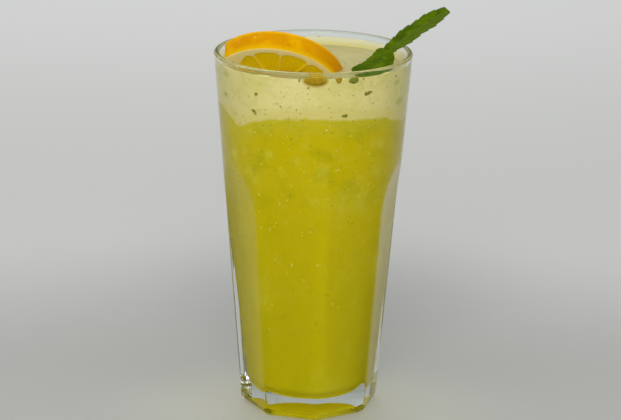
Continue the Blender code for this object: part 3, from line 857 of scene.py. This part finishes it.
def wheelRows():
    # front face, rounded corner, bulging rim, corner and back face, carried round the wheel's axis
    half, edge, radius = wheel["thickness"] / 2, wheel["edge"], wheel["radius"]
    count, steps = wheel["faceRows"], wheel["stepsAround"]

    def bulged(height):  # the radius, less by the height squared
        return radius - wheel["bulge"] * (height / half) ** 2

    corner = np.radians(np.linspace(0, 90, wheel["cornerRows"]))[1:]
    rimHeights = np.linspace(half - edge, -(half - edge), wheel["rimRows"])
    face = np.stack([np.linspace(0, 0.965, count) * (radius - wheel["bulge"]), np.full(count, half)], 1)
    turned = np.stack([bulged(half) - edge + edge * np.sin(corner), half - edge * (1 - np.cos(corner))], 1)
    rim = np.stack([bulged(rimHeights), rimHeights], 1)[1:-1]
    profile = np.concatenate([face, turned, rim, turned[::-1] * (1, -1), face[::-1] * (1, -1)])
    angle = np.broadcast_to(np.linspace(0, 2 * math.pi, steps, endpoint=False), (len(profile), steps))
    reach = np.repeat(profile[:, :1], steps, axis=1)
    height = np.repeat(profile[:, 1:], steps, axis=1)
    outline = np.minimum(bulged(height), wheelLimit(angle, height))
    reach = reach / bulged(height) * outline
    # segments lie a little below the skins and bulge in their middles
    turnShare = (angle - wheel["firstSkin"]) / (2 * math.pi / wheel["segments"]) % 1.0
    skin = (0.5 - np.abs(turnShare - 0.5)) * 2 * math.pi / wheel["segments"] * reach
    near = np.clip(1 - skin / wheel["scallopReach"], 0, 1)
    low, high, back, end = wheel["thickPith"]
    thick = smoothStep(angle, low, high) * smoothStep(angle, end, back)
    fleshEdge = wheel["fleshShare"] * radius - wheel["scallop"] * near ** 2 - wheel["pithMore"] * thick
    flesh = smoothStep(skin, wheel["skinHalf"], 0.9 * mm)
    flesh = flesh * smoothStep(reach, fleshEdge, fleshEdge - 0.8 * mm)
    flesh = flesh * smoothStep(reach, *wheel["core"])
    sacs = np.sin(reach * 2600 + 3 * np.sin(angle * 23)) * np.sin(angle * 60 + 40 * reach / radius)
    sunk = (wheel["sink"] + wheel["sacs"] * sacs) * flesh
    onFace = np.abs(height) > half - 0.01 * mm
    height = np.where(onFace, np.sign(height) * (np.abs(height) - sunk), height)
    reach = reach - poreDents(angle, height, reach, onFace)
    right, up, out = wheelAxes()
    way = np.cos(angle)[..., None] * right + np.sin(angle)[..., None] * up
    return wheel["centre"] + reach[..., None] * way + height[..., None] * out


def poreDents(angle, height, reach, onFace):
    # round dents in the peel at seeded places, deepest in their middles
    random = np.random.default_rng(11)
    half = wheel["thickness"] / 2
    places = np.stack([random.uniform(0, 2 * math.pi, wheel["pores"]) * wheel["radius"],
                       random.uniform(-half, half, wheel["pores"])], 1)
    peel = ~onFace & (reach > wheel["radius"] - 2.2 * mm)
    points = np.stack([angle[peel] * wheel["radius"], height[peel]], 1)
    nearest = np.full(len(points), 1.0)
    for start in range(0, wheel["pores"], 100):  # a hundred pores at a time, to spare memory
        gap = points[:, None] - places[None, start:start + 100]
        nearest = np.minimum(nearest, np.sqrt((gap ** 2).sum(-1)).min(1))
    dents = np.zeros_like(reach)
    dents[peel] = wheel["poreDepth"] * smoothStep(nearest, wheel["poreSize"], 0.0)
    return dents


orangeColours = {
    "peel": (0.80, 0.37, 0.0012),
    "peelGold": (0.86, 0.46, 0.0015),
    "peelDeep": (0.66, 0.27, 0.0008),
    "peelEdge": (0.86, 0.49, 0.002),
    "pith": (0.95, 0.79, 0.36),
    "pithEdge": (0.92, 0.64, 0.06),
    "flesh": (0.88, 0.60, 0.0012),
    "fleshPale": (0.92, 0.67, 0.006),
    "skin": (0.92, 0.70, 0.17),
    "brown": (0.10, 0.045, 0.002),
    "glint": (0.95, 0.72, 0.16),
}
# brown flecks near the slice's right end: place in the wheel's own axes and size, in mm
peelMarks = ((25.9, 9.6, 3.3, 0.5), (26.6, 8.5, 2.4, 0.7), (25.0, 10.8, 4.0, 0.35), (27.2, 7.2, 3.4, 0.6),
             (24.4, 12.2, 3.6, 0.3), (26.2, 9.4, 0.6, 0.4))


def fleshColour(finish, x, angle, reach, sacs, ragged):
    # the cut face from the middle out: juicy flesh between pale skins, scalloped pith, golden rim
    radius, count = wheel["radius"], wheel["segments"]
    turnShare = finish.sum("FRACT", (angle - wheel["firstSkin"]) * (count / (2 * math.pi)) + 2.0 * count)
    skin = (0.5 - abs(turnShare - 0.5)) * reach * (2 * math.pi / count)
    near = finish.sum("MAXIMUM", 1.0 - skin / wheel["scallopReach"], 0.0)
    low, high, back, end = wheel["thickPith"]
    thick = finish.fade(angle, low, high) * finish.fade(angle, end, back)
    fleshEdge = wheel["fleshShare"] * radius - near * near * wheel["scallop"] - thick * wheel["pithMore"]
    colour = finish.mix(finish.fade(sacs, 0.4, 0.68), "flesh", "fleshPale")
    skinMask = finish.fade(skin + ragged * 0.4, wheel["skinHalf"] + 0.25 * mm, wheel["skinHalf"] - 0.1 * mm)
    plain = finish.fade(reach, 13 * mm, 23 * mm) * finish.fade(abs(x), 10 * mm, 4 * mm)
    colour = finish.mix(skinMask * (0.12 + 0.45 * plain), colour, "skin")
    colour = finish.mix(finish.fade(reach - fleshEdge + ragged, -0.3 * mm, 0.35 * mm), colour,
                        "pith")
    return finish.mix(finish.fade(reach + ragged, radius - 1.6 * mm, radius - 0.6 * mm), colour,
                      "pithEdge")


def peelColour(finish, local, x, z, ragged):
    # gold and deep orange in patches, with painted shade that deepens both ends, painted glints, a paler edge
    # and brown flecks
    peel = finish.mix(finish.fade(finish.noise(90.0, 3.0), 0.35, 0.65), "peelDeep",
                      "peelGold")
    peel = finish.mix(finish.fade(finish.cells(1100.0), 0.5, 0.1) * 0.5, peel, "peel")
    peel = finish.mix(finish.fade(finish.noise(430.0, 3.0, 0.6), 0.52, 0.68) * 0.7, peel,
                      "peelDeep")
    # painted shade: the peel turns deep orange towards both ends, where less light falls
    peel = finish.mix(finish.fade(abs(x + 3 * mm), 11 * mm, 25 * mm) * 0.9, peel, "peelDeep")
    # painted highlights: pale gold glints on the peel at its upper left
    glints = finish.fade(finish.cells(620.0), 0.30, 0.12) * finish.fade(finish.noise(240.0, 2.0), 0.5, 0.66)
    glints = glints * finish.fade(abs(x + 11 * mm), 10 * mm, 3 * mm)  # at the upper left
    peel = finish.mix(glints * 0.8, peel, "glint")
    half = wheel["thickness"] / 2
    edge = finish.fade(abs(z) + ragged * 2.0, half - 2.6 * mm, half - 0.4 * mm)
    peel = finish.mix(edge * 0.8, peel, "peelEdge")
    for px, py, pz, size in peelMarks:
        away = finish.add("ShaderNodeVectorMath", {"operation": "DISTANCE"}, {
            0: local, 1: (px * mm, py * mm, pz * mm)}, "Value")
        peel = finish.mix(finish.fade(away + ragged, size * mm, size * 0.5 * mm) * 0.85, peel,
                          "brown")
    return peel


def orangeFinish():
    # in the wheel's own axes: peel where it lies outermost, and on the faces its cut edge; else flesh
    finish = Finish("orangeSlice", orangeColours)
    turnBack = Matrix(wheelAxes()).transposed().to_euler()
    local = finish.add("ShaderNodeMapping", {"vector_type": "TEXTURE"}, {
        "Vector": finish.place, "Location": wheel["centre"], "Rotation": turnBack})
    x, y, z = finish.split(local)
    reach = (x * x + y * y) ** 0.5
    angle = finish.sum("ARCTAN2", y, x)
    ragged = (finish.noise(700.0, 2.0) - 0.5) * 0.5 * mm
    sacVector = finish.add("ShaderNodeCombineXYZ", {}, {0: angle * 26.0, 1: reach * 420.0, 2: z * 500.0})
    sacs = finish.noise(1.0, 2.0, 0.5, sacVector)  # juice sacs, drawn out from the middle
    radius, half = wheel["radius"], wheel["thickness"] / 2
    faceMask = finish.fade(abs(z), half - 0.35 * mm, half - 0.1 * mm)
    cutEdge = 1 - faceMask * finish.fade(reach, radius - 0.9 * mm, radius - 1.1 * mm)
    peelMask = finish.fade(reach, radius - 1.25 * mm, radius - 0.85 * mm) * cutEdge
    colour = finish.mix(peelMask, fleshColour(finish, x, angle, reach, sacs, ragged),
                        peelColour(finish, local, x, z, ragged))
    rough = 0.3 + 0.15 * peelMask + 0.1 * finish.noise(600.0)
    height = sacs * (1 - peelMask) + finish.noise(1400.0, 2.0) * 0.3 * peelMask
    # painted light: the whole slice glows faintly in its own colour, for light that passes through it
    return finish.set(BaseColor=colour, Roughness=rough, SpecularIORLevel=0.03,
                      SpecularTint=(1.0, 0.75, 0.1), EmissionColor=colour, EmissionStrength=0.06,
                      Normal=finish.bump(height, 0.15 * mm, 0.5))


addPiece(meshFromRows("orange_wheel", wheelRows()), orangeFinish(), "orange", "orange_slice")
print("orange slice")

# Mint leaves. The surface is the one of the solids, with veins and finer teeth.

upperLeaf = {
    "rib": ((30.0, -11.6, 158.4), (41.2, -7.4, 167.0), (56.2, -1.5, 175.0)),
    "across": (-0.36, 0.84, 0.34),
    "halfWidth": 4.6, "nearBase": 0.3, "nearTip": 0.28, "fold": 0.04, "wave": 0.3, "teeth": 8,
    "toothDepth": 0.17,
    "stem": ((29.4, -8.6, 147.5), (29.5, -9.2, 152.0), (29.9, -10.6, 156.6), (31.2, -11.1, 159.2)),
    "stemRadius": 0.85 * mm,
}
lowerLeaf = {
    "rib": ((30.3, -13.6, 160.3), (28.8, -25.9, 152.9), (15.6, -31.6, 155.2)),
    "across": (0.70, -0.41, -0.58),
    "halfWidth": 4.8, "nearBase": 0.3, "nearTip": 0.5, "fold": 0.05, "wave": 0.3, "teeth": 7,
    "toothDepth": 0.1,
}
leafMesh = {
    "rows": 240, "columns": 48, "thickness": 0.5 * mm, "fromWall": 0.9 * mm,
    "veins": 9.0, "veinSlope": 2.8, "veinDepth": 0.16 * mm,
    "stemRows": 40, "stemSteps": 16,
}


def leafPlaces(leaf, along, side):
    # a bent rib carries a width that opens from the base and closes at the tip, with teeth,
    # a fold along the rib, waves at the edges and veins that run out to the teeth
    base, bend, tip = (np.array(p) * mm for p in leaf["rib"])
    leafWay = unit(np.array(leaf["across"]))
    t = along[..., None]
    rib = base * (1 - t) ** 2 + bend * 2 * t * (1 - t) + tip * t ** 2
    run = unit((bend - base) * (1 - t) + (tip - bend) * t)
    across = unit(leafWay - run * (run @ leafWay)[..., None])
    up = np.cross(run, across)
    widest = leaf["nearBase"] / (leaf["nearBase"] + leaf["nearTip"])
    shape = (along / widest) ** leaf["nearBase"] * ((1 - along) / (1 - widest)) ** leaf["nearTip"]
    tooth = (along * leaf["teeth"]) % 1.0
    out = leaf["halfWidth"] * mm * shape * (1 + leaf["toothDepth"] * (tooth - 0.5)) * side
    lift = leaf["fold"] * np.abs(out) + leaf["wave"] * mm * side ** 2 * np.sin(along * 17 + side * 1.5)
    vein = np.abs((along * leafMesh["veins"] - np.abs(side) * leafMesh["veinSlope"]) % 1.0 - 0.5) * 2
    groove = smoothStep(vein, 0.25, 0.0) * smoothStep(np.abs(side), 1.0, 0.6)
    ribGroove = smoothStep(np.abs(side), 0.12, 0.02)
    lift = lift - leafMesh["veinDepth"] * (0.7 * groove + ribGroove)
    return rib + across * out[..., None] + up * lift[..., None]


def pressInside(places):
    # below the rim, the leaf's edge turns along the wall
    limit = innerRadius(places[..., 2]) - leafMesh["fromWall"]
    radius = np.hypot(places[..., 0], places[..., 1])
    below = places[..., 2] < tumbler["height"] + mm
    share = np.where(below & (radius > limit), limit / radius, 1.0)
    places = places.copy()
    places[..., :2] *= share[..., None]
    return places


def addLeaf(name, leaf, finish, replaced):
    # a grid of along and side, which is also its UV map, made solid to half a millimetre
    along, side = np.meshgrid(np.linspace(0.012, 0.988, leafMesh["rows"]),
                              np.linspace(-1, 1, leafMesh["columns"] + 1), indexing="ij")
    mesh = meshFromRows(name, pressInside(leafPlaces(leaf, along, side)), wrap=False)
    corners = np.empty(len(mesh.loops), dtype=np.int32)
    mesh.loops.foreach_get("vertex_index", corners)
    uv = np.stack([along, side * 0.5 + 0.5], -1).reshape(-1, 2)
    mesh.uv_layers.new(name="along").data.foreach_set("uv", uv[corners].ravel())
    solid = addPiece(mesh, finish, "mint", replaced).modifiers.new("thickness", "SOLIDIFY")
    solid.thickness = leafMesh["thickness"]
    solid.offset = 0.0


def stemRows(leaf):
    # circles carried along the stem's bends, closed at both ends
    points, steps = np.array(leaf["stem"]) * mm, leafMesh["stemSteps"]
    t = np.linspace(0, len(points) - 1, leafMesh["stemRows"])
    path = np.stack([np.interp(t, range(len(points)), points[:, i]) for i in range(3)], 1)
    path[1:-1] = (path[:-2] + path[1:-1] * 2 + path[2:]) / 4
    run = unit(np.gradient(path, axis=0))
    first = unit(np.cross(run, (0.0, 1.0, 0.2)))
    second = np.cross(run, first)
    angle = np.linspace(0, 2 * math.pi, steps, endpoint=False)
    ring = np.cos(angle)[None, :, None] * first[:, None] + np.sin(angle)[None, :, None] * second[:, None]
    ends = np.repeat(path[[0, -1]][:, None], steps, axis=1)
    return np.concatenate([ends[:1], path[:, None] + leaf["stemRadius"] * ring, ends[1:]])


leafColours = {
    "green": (0.100, 0.170, 0.001),
    "deep": (0.050, 0.096, 0.0006),
    "vein": (0.200, 0.270, 0.030),
    "pale": (0.097, 0.145, 0.010),
}


def leafFinish(name, paleHalf):
    # green in patches, one half paler, with veins by the sums of leafPlaces and a green edge
    finish = Finish(name, leafColours)
    along, across, height = finish.split(finish.add("ShaderNodeUVMap", {"uv_map": "along"}))
    side = abs(across - 0.5) * 2
    wave = finish.sum("FRACT", along * leafMesh["veins"] - side * leafMesh["veinSlope"] + 4.0)
    lines = finish.fade(abs(wave - 0.5) * 2, 0.3, 0.02) * 0.75 + finish.fade(side, 0.1, 0.02)
    patch = finish.noise(260.0, 4.0)
    colour = finish.mix(finish.fade(patch, 0.35, 0.7), "deep", "green")
    half = finish.fade(across, 0.52, 0.40)
    colour = finish.mix(half * paleHalf, colour, "pale")
    colour = finish.mix(finish.fade(lines, 0.1, 1.0) * (0.35 + 0.45 * half), colour, "vein")
    colour = finish.mix(finish.fade(side, 0.86, 0.97) * 0.6, colour, "green")
    height = finish.noise(1500.0, 3.0) * 0.5 - lines * 0.5
    return finish.set(BaseColor=colour, Roughness=0.42 + 0.2 * patch, SpecularIORLevel=0.035,
                      SpecularTint=(0.7, 0.9, 0.3), Normal=finish.bump(height, 0.12 * mm, 0.6))


greenLeaf = leafFinish("mintUpper", 0.6)
addLeaf("mint_upper", upperLeaf, greenLeaf, "mint_leaf_upper")
addPiece(meshFromRows("mint_stem", stemRows(upperLeaf)), greenLeaf, "mint")
addLeaf("mint_lower", lowerLeaf, leafFinish("mintLower", 0.15), "mint_leaf_lower")
print("mint")
